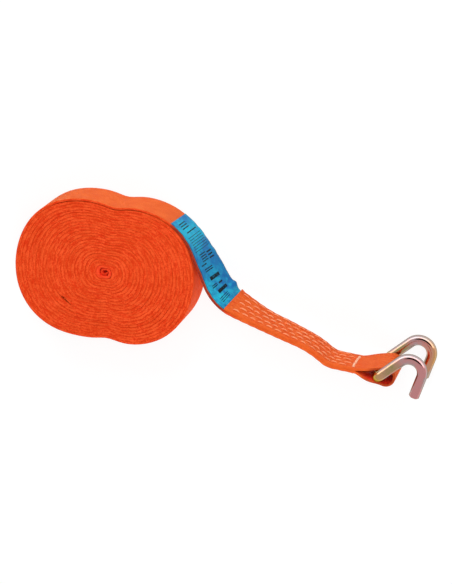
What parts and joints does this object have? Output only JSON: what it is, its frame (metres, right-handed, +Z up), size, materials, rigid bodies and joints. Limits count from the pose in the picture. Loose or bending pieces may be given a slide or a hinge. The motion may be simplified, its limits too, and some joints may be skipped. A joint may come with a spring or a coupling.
{
  "type": "tie-down strap with hook",
  "caption": "Flat webbing tie-down strap wound in a roll, its free end sewn into an eye round a double J hook that swings in it.",
  "frame": {"origin": "middle of the roll, on the surface that the roll lies on", "axes": "+X from the roll towards the hook, +Z up, across the webbing's width"},
  "size_m": [0.4266, 0.1763, 0.0755],
  "materials": {
    "webbing": "orange woven polyester webbing",
    "label": null,
    "thread": "pale orange sewing thread",
    "hook": "yellow passivated zinc on round steel bar"
  },
  "bodies": {
    "strap": {"strap_roll": "webbing", "strap_lead": "webbing", "strap_eye": "webbing", "strap_foldback": "webbing", "strap_label": "label", "splice_stitching": "thread", "eye_tack": "thread"},
    "hook": {"claw_hook": "hook"}
  },
  "joints": [
    {"name": "hook_swivel", "type": "hinge", "parent": "strap", "child": "hook", "pos_m": [0.28221, -0.0831, 0.03775], "axis": [0, 0, 1], "continuous": true}
  ]
}
